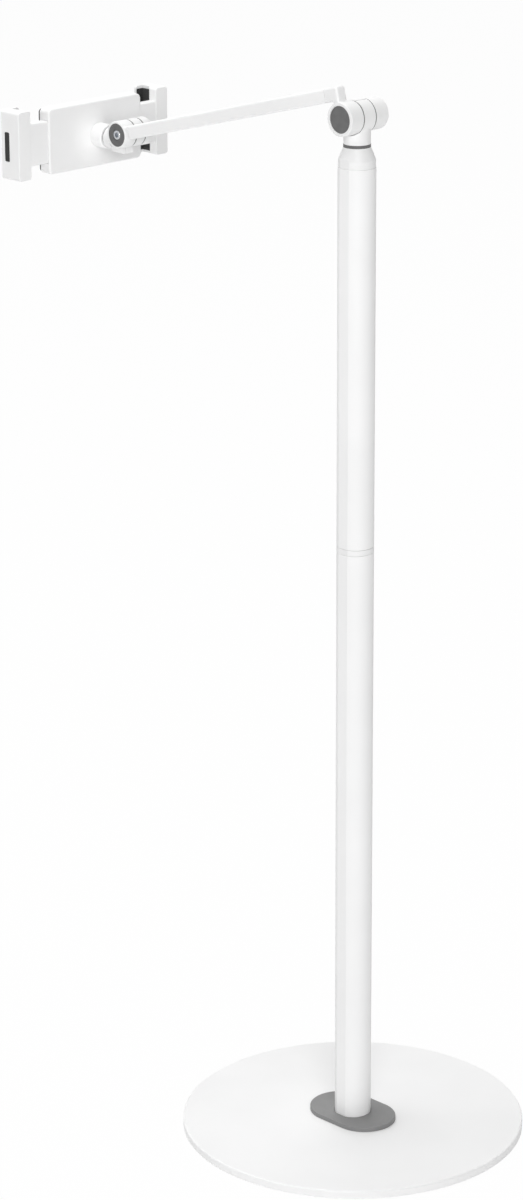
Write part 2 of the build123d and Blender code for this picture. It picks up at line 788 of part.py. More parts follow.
def rear_shell():
    outer = rounded_prism_y(
        body_width, body_height, body_corner, back_y, shell_front, z=holder_z
    )
    outer = fillet(outer_edges(outer, Axis.Y), body_edge_radius)
    inner = rounded_prism_y(
        body_width - 2 * shell_wall, body_height - 2 * shell_wall, body_corner - shell_wall,
        back_y - shell_wall, shell_front, z=holder_z,
    )
    shell = outer - inner
    half_slot = slide_height / 2 + slide_gap
    rail = shell_wall - clear_gap
    for side in (1, -1):
        low = holder_z + side * half_slot
        shell += block(
            -body_width / 2 + shell_wall, body_width / 2 - shell_wall,
            back_y - shell_wall, shell_front, low, low + side * rail,
        )
    for x, z in screw_places():
        shell += rod_y(
            screw_boss_diameter / 2, shell_front, back_y - shell_wall, x, holder_z + z
        )
    shell &= outer
    shell -= block(
        -body_width, body_width, back_y - shell_wall, shell_front,
        holder_z - half_slot, holder_z + half_slot,
    )
    for x, z in screw_places():
        tip = shell_front + shell_screw_length - front_plate_thickness
        shell -= rod_y(shell_screw_diameter / 2, shell_front, tip, x, holder_z + z)
    collar = rod_y(roll_collar_diameter / 2, collar_foot, collar_start, z=holder_z)
    collar = chamfer(outer_edges(collar, Axis.Y), roll_collar_chamfer)
    shell += flare() + collar
    shell -= rod_y(roll_cavity_diameter / 2, back_y - shell_wall, roll_seat(), z=holder_z)
    bore = roll_bolt_diameter / 2 + running_gap
    return shell - rod_y(bore, roll_seat(), collar_start, z=holder_z)


def front_plate():
    plate = rounded_prism_y(
        body_width, body_height, body_corner, shell_front, plate_front, z=holder_z
    )
    plate = fillet(plate.faces().sort_by(Axis.Y)[0].edges(), front_plate_thickness / 3)
    plate += rod_y(pinion_post_diameter / 2, shell_front, pinion_back, z=holder_z)
    collar_end = pinion_front - running_gap
    plate += rod_y(pinion_collar_diameter / 2, shell_front, collar_end, z=holder_z)
    for side in (1, -1):
        x = -side * spring_shell_post
        z = holder_z + side * spring_offset
        plate += rod_y(spring_post_diameter / 2, shell_front, rack_y_back, x, z)
    for x, z in screw_places():
        plate -= rod_y(shell_screw_diameter / 2 + clear_gap / 2, plate_front, shell_front, x, holder_z + z)
        head = shell_screw_head_diameter / 2 + clear_gap
        head_back = plate_front + shell_screw_head_height
        plate -= rod_y(head, plate_front, head_back, x, holder_z + z)
    return plate


def shell_screws():
    screws = []
    for x, z in screw_places():
        head_back = plate_front + shell_screw_head_height
        head = rod_y(shell_screw_head_diameter / 2, plate_front, head_back, x, holder_z + z)
        tip = plate_front + shell_screw_length
        screws.append(head + rod_y(shell_screw_diameter / 2, head_back, tip, x, holder_z + z))
    return Compound(children=screws)


def front_pad():
    return rounded_prism_y(
        body_width - 2 * front_pad_inset, body_height - 2 * front_pad_inset,
        body_corner - front_pad_inset, plate_front, pad_face, z=holder_z,
    )


def pinion_outline():
    # Twelve involute teeth, thinned for backlash, with one tooth pointing up.
    tip = pitch_radius + gear_module
    root = pitch_radius - 1.25 * gear_module
    base = pitch_radius * cos(radians(pressure_angle))
    pitch_roll = sqrt((pitch_radius / base) ** 2 - 1)
    pitch_polar = pitch_roll - radians(pressure_angle)
    half = pi / (2 * pinion_teeth) - tooth_thinning / pitch_radius
    flank = []
    for step in range(5):
        radius = base + (tip - base) * step / 4
        roll = sqrt((radius / base) ** 2 - 1)
        polar = roll - atan2(roll, 1)
        flank.append((radius, half + pitch_polar - polar))
    points = []
    for tooth in range(pinion_teeth):
        middle = pi / 2 - 2 * pi * tooth / pinion_teeth
        left = [(root, flank[0][1])] + flank
        side = [(radius, middle + angle) for radius, angle in left]
        side += [(radius, middle - angle) for radius, angle in reversed(left)]
        points += [(radius * cos(angle), radius * sin(angle)) for radius, angle in side]
    return make_face(Polyline(*points, close=True))


def pinion():
    gear = extrude(pinion_outline(), pinion_back - pinion_front)
    gear = Pos(0, pinion_back, holder_z) * Rot(90, 0, 0) * gear
    bore = pinion_post_diameter / 2 + running_gap
    return gear - rod_y(bore, pinion_front, pinion_back, z=holder_z)


def rack_outline():
    # The upper rack, seen from behind the clamp: its teeth point down to the pinion.
    pitch = pi * gear_module
    lean = sin(radians(pressure_angle)) / cos(radians(pressure_angle))
    tip = pitch_radius - rack_addendum
    half = pitch / 4 - tooth_thinning
    tip_half = half - rack_addendum * lean
    root_half = half + 1.25 * gear_module * lean
    first = ceil((root_half - rack_end) / pitch - 0.5)
    last = floor((rack_root_start - root_half) / pitch - 0.5)
    points = [(-rack_end, rack_top), (-rack_end, rack_root)]
    for tooth in range(first, last + 1):
        x = (tooth + 0.5) * pitch
        points += [(x - root_half, rack_root), (x - tip_half, tip)]
        points += [(x + tip_half, tip), (x + root_half, rack_root)]
    points += [(rack_root_end, rack_root), (rack_root_end, rack_top)]
    return make_face(Polyline(*points, close=True))


def left_rack():
    rack = Pos(0, rack_y_back, holder_z) * Rot(90, 0, 0) * extrude(rack_outline(), rack_depth)
    return rack + block(
        rack_root_start, rack_root_end, rack_y_back, slide_back - slide_wall,
        holder_z + rack_root, holder_z + rack_top,
    )


def left_slide():
    half = slide_height / 2
    wall_end = flange_inner
    tray = block(
        tray_inner_end, wall_end, slide_front, slide_back, holder_z - half, holder_z + half
    )
    long_edges = tray.edges().filter_by(Axis.X)
    tray = fillet(long_edges.group_by(Axis.Y)[-1], slide_edge_radius)
    tray -= block(
        tray_inner_end, wall_end - slide_wall, slide_front, slide_back - slide_wall,
        holder_z - half + slide_wall, holder_z + half - slide_wall,
    )
    slide = tray + rod_y(
        spring_post_diameter / 2, rack_y_front, slide_back - slide_wall,
        spring_slide_post, holder_z + spring_offset,
    )
    for z in jaw_screw_heights():
        slide -= rod_x(
            jaw_screw_diameter / 2 + clear_gap / 2, wall_end - slide_wall, wall_end,
            jaw_screw_y, z,
        )
    return slide


def jaw_screw_heights():
    half = jaw_screw_spacing / 2
    return [holder_z + half, holder_z - half]


def left_spring():
    # A close-wound spring, drawn as a capped sleeve with a flat eye at each end.
    y = (rack_y_back + rack_y_front) / 2
    z = holder_z + spring_offset
    hole = spring_post_diameter / 2 + spring_eye_gap
    eye = hole + spring_wall
    start = -spring_shell_post + eye - spring_eye_lap
    end = spring_slide_post - eye + spring_eye_lap
    coil = rod_x(spring_diameter / 2, start, end, y, z)
    coil -= rod_x(spring_diameter / 2 - spring_wall, start + spring_wall, end - spring_wall, y, z)
    for x in (-spring_shell_post, spring_slide_post):
        coil += rod_y(eye, y - spring_wall / 2, y + spring_wall / 2, x, z)
    for x in (-spring_shell_post, spring_slide_post):
        coil -= rod_y(hole, rack_y_front, rack_y_back, x, z)
    return coil


def left_jaw():
    width = jaw_outer - flange_inner
    centre = (jaw_outer + flange_inner) / 2
    jaw = rounded_prism_y(width, jaw_height, jaw_corner, jaw_back, jaw_front, centre, holder_z)
    jaw = fillet(outer_edges(jaw, Axis.Y), jaw_edge_radius)
    lip_end = jaw_inner - lip_reach
    lip = rounded_prism_y(
        jaw_outer - lip_end, jaw_height, jaw_corner, jaw_front + lip_thickness, jaw_front,
        (jaw_outer + lip_end) / 2, holder_z,
    )
    lip = fillet(lip.faces().sort_by(Axis.Y)[0].edges(), jaw_edge_radius)
    jaw -= block(
        flange_inner, jaw_outer, jaw_front, jaw_front + lip_thickness,
        holder_z - jaw_height, holder_z + jaw_height,
    )
    jaw = jaw + lip - jaw_channel()
    jaw -= slot_prism(slot_width, slot_length, slot_corner, jaw_inner, jaw_outer)
    for z in jaw_screw_heights():
        end = flange_inner + jaw_screw_depth
        jaw -= rod_x(jaw_screw_diameter / 2, flange_inner, end, jaw_screw_y, z)
    return jaw


def jaw_channel():
    # The room for the tablet's edge, between the lip and the round-edged flange behind it.
    front = jaw_front + lip_thickness
    side = flange_inner - flange_round
    round_end = flange_inner + flange_round
    round_back = flange_front + flange_round
    lean = flange_round * (1 - sqrt(0.5))
    straight = Polyline(
        (flange_inner, round_back), (side, round_back), (side, front), (jaw_wall, front),
        (jaw_wall, flange_front), (round_end, flange_front),
    )
    corner = ThreePointArc(
        (round_end, flange_front), (flange_inner + lean, flange_front + lean),
        (flange_inner, round_back),
    )
    room = extrude(make_face(straight + corner), 2 * jaw_height)
    return Pos(0, 0, holder_z - jaw_height) * room


def slot_prism(width, length, corner, x0, x1):
    # An upright slot with small round corners, driven along X through the jaw's outer wall.
    prism = extrude(RectangleRounded(length, width, corner), x1 - x0)
    return Pos(x0, slot_y, holder_z - slot_drop) * Rot(0, 90, 0) * prism


def left_wall_pad():
    # The grip pad on the jaw's wall, with a plug that fills the slot behind it.
    half = jaw_height / 2 - jaw_corner
    pad = block(
        jaw_inner, jaw_wall, jaw_front + lip_thickness, flange_front,
        holder_z - half, holder_z + half,
    )
    return pad + slot_prism(
        slot_width - 2 * plug_gap, slot_length - 2 * plug_gap, slot_corner - plug_gap,
        jaw_inner, jaw_outer - plug_sink,
    )


def left_lip_pad():
    half = jaw_height / 2 - jaw_corner
    return block(
        jaw_inner - lip_reach + jaw_edge_radius, jaw_inner, jaw_front + lip_thickness, lip_face,
        holder_z - half, holder_z + half,
    )


def left_jaw_screws():
    screws = []
    head_end = flange_inner - slide_wall
    for z in jaw_screw_heights():
        head_start = head_end - jaw_screw_head_height
        head = rod_x(jaw_screw_head_diameter / 2, head_start, head_end, jaw_screw_y, z)
        tip = flange_inner + jaw_screw_depth - bolt_tip
        shank = rod_x(jaw_screw_diameter / 2, head_end, tip, jaw_screw_y, z)
        screws.append(head + shank)
    return Compound(children=screws)


def turned(shape):
    # The right-hand grip is the left-hand one turned half round the roll axis.
    return shape.rotate(Axis((0, 0, holder_z), (0, 1, 0)), 180)


def parts():
    left_grip = {
        "slide": left_slide(),
        "rack": left_rack(),
        "spring": left_spring(),
        "jaw": left_jaw(),
        "wall_pad": left_wall_pad(),
        "lip_pad": left_lip_pad(),
        "jaw_screws": left_jaw_screws(),
    }
    nodes = {
        "base_pad": base_pad(),
        "base_weight": base_weight(),
        "base_cover": base_cover(),
        "socket_plate": socket_plate(),
        "plate_screws": plate_screws(),
        "foot_plug": foot_plug(),
        "foot_bolt": foot_bolt(),
        "lower_tube": lower_tube(),
        "joint_socket": joint_socket(),
        "joint_stud": joint_stud(),
        "upper_tube": upper_tube(),
        "top_adapter": top_adapter(),
        "swivel_ring": swivel_ring(),
        "swivel_disc_springs": swivel_disc_springs(),
        "swivel_bolt": swivel_bolt(),
        "swivel_head": swivel_head(),
        "shoulder_bush": shoulder_bush(),
        "shoulder_washers": shoulder_washers(),
        "shoulder_knuckle": shoulder_knuckle(),
        "shoulder_disc": shoulder_disc(),
        "shoulder_bolt": shoulder_bolt(),
        "shoulder_disc_springs": shoulder_disc_springs(),
        "shoulder_nut": shoulder_nut(),
        "shoulder_cap": shoulder_cap(),
        "arm_tube": arm_tube(),
        "wrist_knuckle": wrist_knuckle(),
        "wrist_ring": wrist_ring(),
        "wrist_bolt": wrist_bolt(),
        "wrist_washers": wrist_washers(),
        "wrist_spring_washer": wrist_spring_washer(),
        "wrist_nut": wrist_nut(),
        "wrist_cap": wrist_cap(),
        "holder_neck": holder_neck(),
        "wrist_bush": wrist_bush(),
        "roll_washer": roll_washer_ring(),
        "roll_bolt": roll_bolt(),
        "roll_disc_springs": roll_disc_springs(),
        "rear_shell": rear_shell(),
        "front_plate": front_plate(),
        "shell_screws": shell_screws(),
        "front_pad": front_pad(),
        "pinion": pinion(),
    }
    for name, shape in left_grip.items():
        nodes["left_" + name] = shape
        nodes["right_" + name] = turned(shape)
    return nodes


os.makedirs("parts", exist_ok=True)
for name, shape in parts().items():
    export_step(shape, f"parts/{name}.step")
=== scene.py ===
# Tablet floor stand: finishes, fine detail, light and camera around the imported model.
# Metres. The floor is z = 0, the pole stands on the z axis and the arm reaches towards -Y.
import json
import math

import bmesh
import bpy
from mathutils import Matrix, Vector


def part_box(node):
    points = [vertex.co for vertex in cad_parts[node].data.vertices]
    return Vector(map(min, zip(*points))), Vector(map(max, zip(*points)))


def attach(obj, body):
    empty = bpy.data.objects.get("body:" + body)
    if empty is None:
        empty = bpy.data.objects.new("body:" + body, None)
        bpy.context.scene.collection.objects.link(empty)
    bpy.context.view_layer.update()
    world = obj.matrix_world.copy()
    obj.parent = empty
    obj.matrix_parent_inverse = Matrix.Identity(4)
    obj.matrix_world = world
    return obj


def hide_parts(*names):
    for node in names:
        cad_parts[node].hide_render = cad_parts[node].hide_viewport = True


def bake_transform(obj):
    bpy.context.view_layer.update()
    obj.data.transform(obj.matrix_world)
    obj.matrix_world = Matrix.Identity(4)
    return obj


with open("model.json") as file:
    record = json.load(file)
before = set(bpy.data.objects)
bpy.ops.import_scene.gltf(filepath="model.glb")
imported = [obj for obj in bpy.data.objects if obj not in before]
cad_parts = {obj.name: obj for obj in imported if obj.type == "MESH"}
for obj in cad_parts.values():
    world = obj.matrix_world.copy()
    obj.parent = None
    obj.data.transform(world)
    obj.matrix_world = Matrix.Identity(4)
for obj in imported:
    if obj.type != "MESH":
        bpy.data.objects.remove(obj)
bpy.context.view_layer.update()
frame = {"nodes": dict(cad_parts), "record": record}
nodes = frame["nodes"]
mm = 0.001
print("frame loaded:", len(nodes), "nodes")


def linearColour(hexText):
    # sRGB hex to the linear values that shaders and lamps take
    channels = [int(hexText[i:i + 2], 16) / 255 for i in (1, 3, 5)]
    linear = [c / 12.92 if c <= 0.04045 else ((c + 0.055) / 1.055) ** 2.4 for c in channels]
    return (*linear, 1.0)


def addNode(tree, kind, settings=None, inputs=None):
    # settings are the node's own properties, inputs are values or sockets to link from
    node = tree.nodes.new(kind)
    for key, value in (settings or {}).items():
        setattr(node, key, value)
    for key, value in (inputs or {}).items():
        if isinstance(value, bpy.types.NodeSocket):
            tree.links.new(value, node.inputs[key])
        else:
            node.inputs[key].default_value = value
    return node


# Camera: the photograph's own angle and lens, fitted to its 523 x 1200 picture
cameraSettings = {
    "place": (2.5592, 2.4682, 1.7429),
    "azimuth": 135.451,
    "pitch": 18.292,
    "roll": -0.2055,
    "focalPixels": 3791.4,
    "pictureHeight": 1200,
    "sensorHeight": 24.0,
    "clipEnd": 50,
}


def makeCamera(s):
    azimuth, pitch, roll = (math.radians(s[key]) for key in ("azimuth", "pitch", "roll"))
    right = Vector((math.cos(azimuth), math.sin(azimuth), 0))
    level = Vector((-math.sin(azimuth), math.cos(azimuth), 0))
    forward = level * math.cos(pitch) - Vector((0, 0, math.sin(pitch)))
    up = right.cross(forward)
    side = right * math.cos(roll) + up * math.sin(roll)
    top = up * math.cos(roll) - right * math.sin(roll)
    data = bpy.data.cameras.new("photoCamera")
    data.sensor_fit = "VERTICAL"
    data.sensor_height = s["sensorHeight"]
    data.lens = s["focalPixels"] * s["sensorHeight"] / s["pictureHeight"]
    data.clip_end = s["clipEnd"]
    camera = bpy.data.objects.new("photoCamera", data)
    bpy.context.scene.collection.objects.link(camera)
    turn = Matrix((side, top, -forward)).transposed().to_4x4()
    camera.matrix_world = Matrix.Translation(s["place"]) @ turn
    bpy.context.scene.camera = camera


makeCamera(cameraSettings)
print("camera set")


# Finishes. Grain sizes are in millimetres and become noise scales on Object coordinates.
driftStops = (0.35, 0.65)
driftDetail = 2.0
grainDetail = 3.0


def startMaterial(name):
    material = bpy.data.materials.new(name)
    material.use_nodes = True
    tree = material.node_tree
    tree.nodes.clear()
    shader = addNode(tree, "ShaderNodeBsdfPrincipled")
    addNode(tree, "ShaderNodeOutputMaterial", inputs={"Surface": shader.outputs[0]})
    place = addNode(tree, "ShaderNodeTexCoord").outputs["Object"]
    return material, tree, shader, place


def noiseValue(tree, place, sizeMm, detail):
    settings = {"Vector": place, "Scale": 1 / (sizeMm * mm), "Detail": detail}
    return addNode(tree, "ShaderNodeTexNoise", inputs=settings).outputs["Fac"]


def coatedSurface(name, s):
    # A body colour that drifts a little, a roughness that follows the same drift, and grain
    material, tree, shader, place = startMaterial(name)
    drift = noiseValue(tree, place, s["driftMm"], driftDetail)
    ramp = addNode(tree, "ShaderNodeValToRGB", inputs={"Fac": drift})
    for stop, position, colour in zip(ramp.color_ramp.elements, driftStops, s["colours"]):
        stop.position = position
        stop.color = linearColour(colour)
    tree.links.new(ramp.outputs["Color"], shader.inputs["Base Color"])
    fine = noiseValue(tree, place, s["grainMm"], grainDetail)
    low, high = s["roughness"]
    rough = addNode(
        tree, "ShaderNodeMapRange", inputs={"Value": fine, "To Min": low, "To Max": high}
    )
    tree.links.new(rough.outputs[0], shader.inputs["Roughness"])
    bump = addNode(
        tree, "ShaderNodeBump",
        inputs={"Height": fine, "Strength": s["grainStrength"], "Distance": s["grainDepthMm"] * mm},
    )
    tree.links.new(bump.outputs[0], shader.inputs["Normal"])
    for key in ("IOR", "Metallic", "Coat Weight", "Coat Roughness"):
        if key in s:
            shader.inputs[key].default_value = s[key]
    return material


finishes = {
    # Steel tube and disc in satin polyester powder: very white, with a soft orange peel
    "satinPowderCoat": {
        "colours": ("#f6f6f6", "#f9f9f9"), "driftMm": 90, "grainMm": 2.4,
        "grainStrength": 0.25, "grainDepthMm": 0.05, "roughness": (0.36, 0.44), "IOR": 1.5,
    },
    # Die castings sprayed white: a slightly coarser skin that keeps the casting's waviness
    "sprayedCasting": {
        "colours": ("#f1f1f1", "#f4f4f4"), "driftMm": 30, "grainMm": 1.8,
        "grainStrength": 0.3, "grainDepthMm": 0.05, "roughness": (0.34, 0.44), "IOR": 1.5,
    },
    # ABS moulded in a spark-eroded tool: even fine grain, a soft wide highlight
    "whiteABS": {
        "colours": ("#f7f7f7", "#fafafa"), "driftMm": 45, "grainMm": 1.2,
        "grainStrength": 0.3, "grainDepthMm": 0.04, "roughness": (0.32, 0.42), "IOR": 1.54,
    },
    # Graphite ABS with a matt tool grain on the plate round the pole; on the washer behind the
    # clamp the same grey is painted shade of the groove
    "graphiteABSAndGrooveShade": {
        "colours": ("#7c7c7c", "#828282"), "driftMm": 25, "grainMm": 1.1,
        "grainStrength": 0.5, "grainDepthMm": 0.06, "roughness": (0.42, 0.55), "IOR": 1.54,
    },
    # Darker graphite ABS of the round badges and rings at the joints
    "darkABS": {
        "colours": ("#5e5e5e", "#656565"), "driftMm": 8, "grainMm": 0.9,
        "grainStrength": 0.5, "grainDepthMm": 0.06, "roughness": (0.45, 0.6), "IOR": 1.54,
    },
    # Matt black silicone rubber of the grip pads and the foot
    "blackSilicone": {
        "colours": ("#303030", "#383838"), "driftMm": 20, "grainMm": 0.9,
        "grainStrength": 0.5, "grainDepthMm": 0.08, "roughness": (0.7, 0.85), "IOR": 1.43,
    },
    # Sand-cast iron, hidden in the base
    "greyIron": {
        "colours": ("#4e4e50", "#5c5c5e"), "driftMm": 15, "grainMm": 1.6, "Metallic": 0.6,
        "grainStrength": 0.8, "grainDepthMm": 0.3, "roughness": (0.6, 0.8),
    },
    # Turned aluminium bar: bright, with tool marks round the bore
    "turnedAluminium": {
        "colours": ("#c3c6c9", "#cfd1d3"), "driftMm": 12, "grainMm": 0.8, "Metallic": 1.0,
        "grainStrength": 0.3, "grainDepthMm": 0.03, "roughness": (0.28, 0.4),
    },
    # Bright zinc plate on fasteners: cool white metal with a faint bluish cloud
    "brightZinc": {
        "colours": ("#c6cad0", "#d6d8da"), "driftMm": 3, "grainMm": 0.6, "Metallic": 1.0,
        "grainStrength": 0.2, "grainDepthMm": 0.02, "roughness": (0.18, 0.3),
    },
    # Oiled spring steel wire and coned washers
    "springSteel": {
        "colours": ("#77797b", "#8a8c8e"), "driftMm": 4, "grainMm": 0.7, "Metallic": 1.0,
        "grainStrength": 0.2, "grainDepthMm": 0.02, "roughness": (0.3, 0.42),
    },
    # Natural nylon of the racks, pinion and washers: waxy and slightly yellow
    "naturalNylon": {
        "colours": ("#dedacb", "#e6e3d6"), "driftMm": 10, "grainMm": 0.9,
        "grainStrength": 0.2, "grainDepthMm": 0.03, "roughness": (0.38, 0.48), "IOR": 1.53,
    },
}
materials = {name: coatedSurface(name, settings) for name, settings in finishes.items()}

finishOfSlot = {
    "white_painted_steel": "satinPowderCoat",
    "white_painted_casting": "sprayedCasting",
    "white_moulding": "whiteABS",
    "dark_moulding": "darkABS",
    "black_rubber": "blackSilicone",
    "cast_weight": "greyIron",
    "bare_aluminium": "turnedAluminium",
    "zinc_plated_steel": "brightZinc",
    "spring_steel": "springSteel",
    "natural_nylon": "naturalNylon",
}
# The washer behind the clamp gets graphite grey in place of its own nylon: painted shade, so the
# groove round the neck reads as a grey line
finishAndPaintedShadeOfNode = {"socket_plate": "graphiteABSAndGrooveShade", "roll_washer": "graphiteABSAndGrooveShade"}
slotOfNode = {row["node"]: row["material_slot"] for row in frame["record"]["subparts"]}
for name, node in nodes.items():
    finish = finishAndPaintedShadeOfNode.get(name, finishOfSlot[slotOfNode[name]])
    node.data.materials.clear()
    node.data.materials.append(materials[finish])
print("finishes:", len(materials))


# Pieces made here
mergeDistance = 1e-6


def mergedCopy(nodeName):
    # A CAD node's loose triangles, joined at their shared corners
    mesh = nodes[nodeName].data.copy()
    work = bmesh.new()
    work.from_mesh(mesh)
    bmesh.ops.remove_doubles(work, verts=work.verts, dist=mergeDistance)
    work.to_mesh(mesh)
    work.free()
    return mesh


def startTree(name, inputs):
    # A Geometry Nodes tree with a mesh in, a mesh out and the named size inputs
    tree = bpy.data.node_groups.new(name, "GeometryNodeTree")
    tree.interface.new_socket("Geometry", in_out="INPUT", socket_type="NodeSocketGeometry")
    for label, kind in inputs:
        tree.interface.new_socket(label, in_out="INPUT", socket_type=kind)
    tree.interface.new_socket("Geometry", in_out="OUTPUT", socket_type="NodeSocketGeometry")
    source = tree.nodes.new("NodeGroupInput").outputs
    return tree, source


def endTree(tree, geometry, material):
    real = addNode(tree, "GeometryNodeRealizeInstances", inputs={"Geometry": geometry})
    painted = addNode(
        tree, "GeometryNodeSetMaterial", inputs={"Geometry": real.outputs[0], "Material": material}
    )
    out = tree.nodes.new("NodeGroupOutput")
    tree.links.new(painted.outputs[0], out.inputs[0])


def runTree(name, mesh, tree, values, sharpDegrees=35):
    # Runs the tree on the mesh and returns a plain mesh object at the origin
    holder = bpy.data.objects.new(name + "Work", mesh)
    bpy.context.scene.collection.objects.link(holder)
    modifier = holder.modifiers.new("shape", "NODES")
    modifier.node_group = tree
    for item in tree.interface.items_tree:
        if item.item_type == "SOCKET" and item.in_out == "INPUT" and item.name in values:
            modifier[item.identifier] = values[item.name]
    bpy.context.view_layer.update()
    depsgraph = bpy.context.evaluated_depsgraph_get()
    result = bpy.data.meshes.new_from_object(holder.evaluated_get(depsgraph), depsgraph=depsgraph)
    bpy.data.objects.remove(holder)
    result.name = name
    work = bmesh.new()
    work.from_mesh(result)
    limit = math.radians(sharpDegrees)
    for face in work.faces:
        face.smooth = True
    for edge in work.edges:
        edge.smooth = edge.calc_face_angle(0) < limit
    work.to_mesh(result)
    work.free()
    piece = bpy.data.objects.new(name, result)
    bpy.context.scene.collection.objects.link(piece)
    return piece


grooveSides = 16


def grooveTree(material):
    # Cuts a row of straight round-bottomed grooves into the piece
    tree, source = startTree("cutGrooves", (
        ("First", "NodeSocketVector"), ("Step", "NodeSocketVector"), ("Count", "NodeSocketInt"),
        ("Turn", "NodeSocketVector"), ("Length", "NodeSocketFloat"), ("Radius", "NodeSocketFloat"),
    ))
    row = addNode(
        tree, "GeometryNodeMeshLine", {"mode": "OFFSET"},
        {"Count": source["Count"], "Start Location": source["First"], "Offset": source["Step"]},
    )
    cutter = addNode(
        tree, "GeometryNodeMeshCylinder",
        inputs={"Vertices": grooveSides, "Radius": source["Radius"], "Depth": source["Length"]},
    )
    placed = addNode(tree, "GeometryNodeInstanceOnPoints", inputs={
        "Points": row.outputs[0], "Instance": cutter.outputs[0], "Rotation": source["Turn"],
    })
    cutters = addNode(tree, "GeometryNodeRealizeInstances", inputs={"Geometry": placed.outputs[0]})
    cut = addNode(
        tree, "GeometryNodeMeshBoolean", {"operation": "DIFFERENCE", "solver": "EXACT"},
        {"Mesh 1": source["Geometry"], "Mesh 2": cutters.outputs[0]},
    )
    endTree(tree, cut.outputs[0], material)
    return tree


frontPadGrooves = {"pitch": 2.6 * mm, "radius": 0.9 * mm, "depth": 0.5 * mm, "border": 3.6 * mm}
jawPadGrooves = {
    "pitch": 2.2 * mm, "radius": 0.7 * mm, "depth": 0.4 * mm, "border": 2.0 * mm, "overrun": 1.2,
}


def groovedPads():
    tree = grooveTree(materials["blackSilicone"])
    low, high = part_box("front_pad")
    s = frontPadGrooves
    lift = s["radius"] - s["depth"]
    room = high.z - low.z - 2 * s["border"]
    count = int(room / s["pitch"])
    start = (low.z + high.z - (count - 1) * s["pitch"]) / 2
    pad = runTree("frontPadGrooved", mergedCopy("front_pad"), tree, {
        "First": (0, low.y - lift, start), "Step": (0, 0, s["pitch"]), "Count": count,
        "Turn": (0, math.pi / 2, 0), "Length": high.x - low.x - 2 * s["border"],
        "Radius": s["radius"],
    })
    finishPiece(pad, "holder", "black_rubber", "front_pad")
    for side in ("left", "right"):
        for kind in ("wall_pad", "lip_pad"):
            jawPad(side, kind, tree)


def jawPad(side, kind, tree):
    # Grooves lie across the jaw, on the face that meets the tablet
    name = f"{side}_{kind}"
    low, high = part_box(name)
    s = jawPadGrooves
    lift = s["radius"] - s["depth"]
    inner = low.x if side == "left" else high.x
    inward = -1 if side == "left" else 1
    count = int((high.z - low.z - 2 * s["border"]) / s["pitch"])
    start = (low.z + high.z - (count - 1) * s["pitch"]) / 2
    if kind == "wall_pad":
        place = (inner + inward * lift, (low.y + high.y) / 2, start)
        turn = (math.pi / 2, 0, 0)
        length = (high.y - low.y) * s["overrun"]
    else:
        place = ((low.x + high.x) / 2, high.y + lift, start)
        turn = (0, math.pi / 2, 0)
        length = (high.x - low.x) * s["overrun"]
    pad = runTree(f"{side}{kind.title().replace('_', '')}Grooved", mergedCopy(name), tree, {
        "First": place, "Step": (0, 0, s["pitch"]), "Count": count, "Turn": turn,
        "Length": length, "Radius": s["radius"],
    })
    finishPiece(pad, f"{side}_grip", "black_rubber", name)


def finishPiece(piece, body, slot, *replaced):
    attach(piece, body)
    if replaced:
        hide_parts(*replaced)


# A pebble's rise and spread are shares of its bump radius, out of the ring's face and along it
wristTexture = {
    "inner": 5.9 * mm, "outer": 11.1 * mm, "spacing": 0.85 * mm, "bump": 0.62 * mm, "rise": 0.24,
    "spread": 0.5, "subdivisions": 2,
}


def pebbleTree(material):
    # Spreads flat pebbles over a ring by a sunflower spiral
    tree, source = startTree("pebbledRing", (
        ("Centre", "NodeSocketVector"), ("Count", "NodeSocketInt"), ("Inner", "NodeSocketFloat"),
        ("Outer", "NodeSocketFloat"), ("Bump", "NodeSocketFloat"), ("Rise", "NodeSocketFloat"),
        ("Spread", "NodeSocketFloat"), ("Subdivisions", "NodeSocketInt"),
    ))

    def maths(operation, first, second=0.0):
        settings = {"operation": operation}
        return addNode(tree, "ShaderNodeMath", settings, {0: first, 1: second}).outputs[0]

    index = addNode(tree, "GeometryNodeInputIndex").outputs[0]
    share = maths("DIVIDE", index, source["Count"])
    innerSquare = maths("MULTIPLY", source["Inner"], source["Inner"])
    outerSquare = maths("MULTIPLY", source["Outer"], source["Outer"])
    span = maths("SUBTRACT", outerSquare, innerSquare)
    radius = maths("SQRT", maths("ADD", innerSquare, maths("MULTIPLY", span, share)))
    goldenAngle = math.pi * (3 - math.sqrt(5))
    angle = maths("MULTIPLY", index, goldenAngle)
    spot = addNode(tree, "ShaderNodeCombineXYZ", inputs={
        "Y": maths("MULTIPLY", radius, maths("COSINE", angle)),
        "Z": maths("MULTIPLY", radius, maths("SINE", angle)),
    })
    place = addNode(
        tree, "ShaderNodeVectorMath", {"operation": "ADD"},
        {0: spot.outputs[0], 1: source["Centre"]},
    )
    points = addNode(
        tree, "GeometryNodePoints", inputs={"Count": source["Count"], "Position": place.outputs[0]}
    )
    pebble = addNode(
        tree, "GeometryNodeMeshIcoSphere",
        inputs={"Radius": source["Bump"], "Subdivisions": source["Subdivisions"]},
    )
    flat = addNode(tree, "ShaderNodeCombineXYZ", inputs={
        "X": source["Rise"], "Y": source["Spread"], "Z": source["Spread"],
    })
    placed = addNode(tree, "GeometryNodeInstanceOnPoints", inputs={
        "Points": points.outputs[0], "Instance": pebble.outputs[0], "Scale": flat.outputs[0],
    })
    both = addNode(tree, "GeometryNodeJoinGeometry")
    tree.links.new(source["Geometry"], both.inputs[0])
    tree.links.new(placed.outputs[0], both.inputs[0])
    endTree(tree, both.outputs[0], material)
    return tree


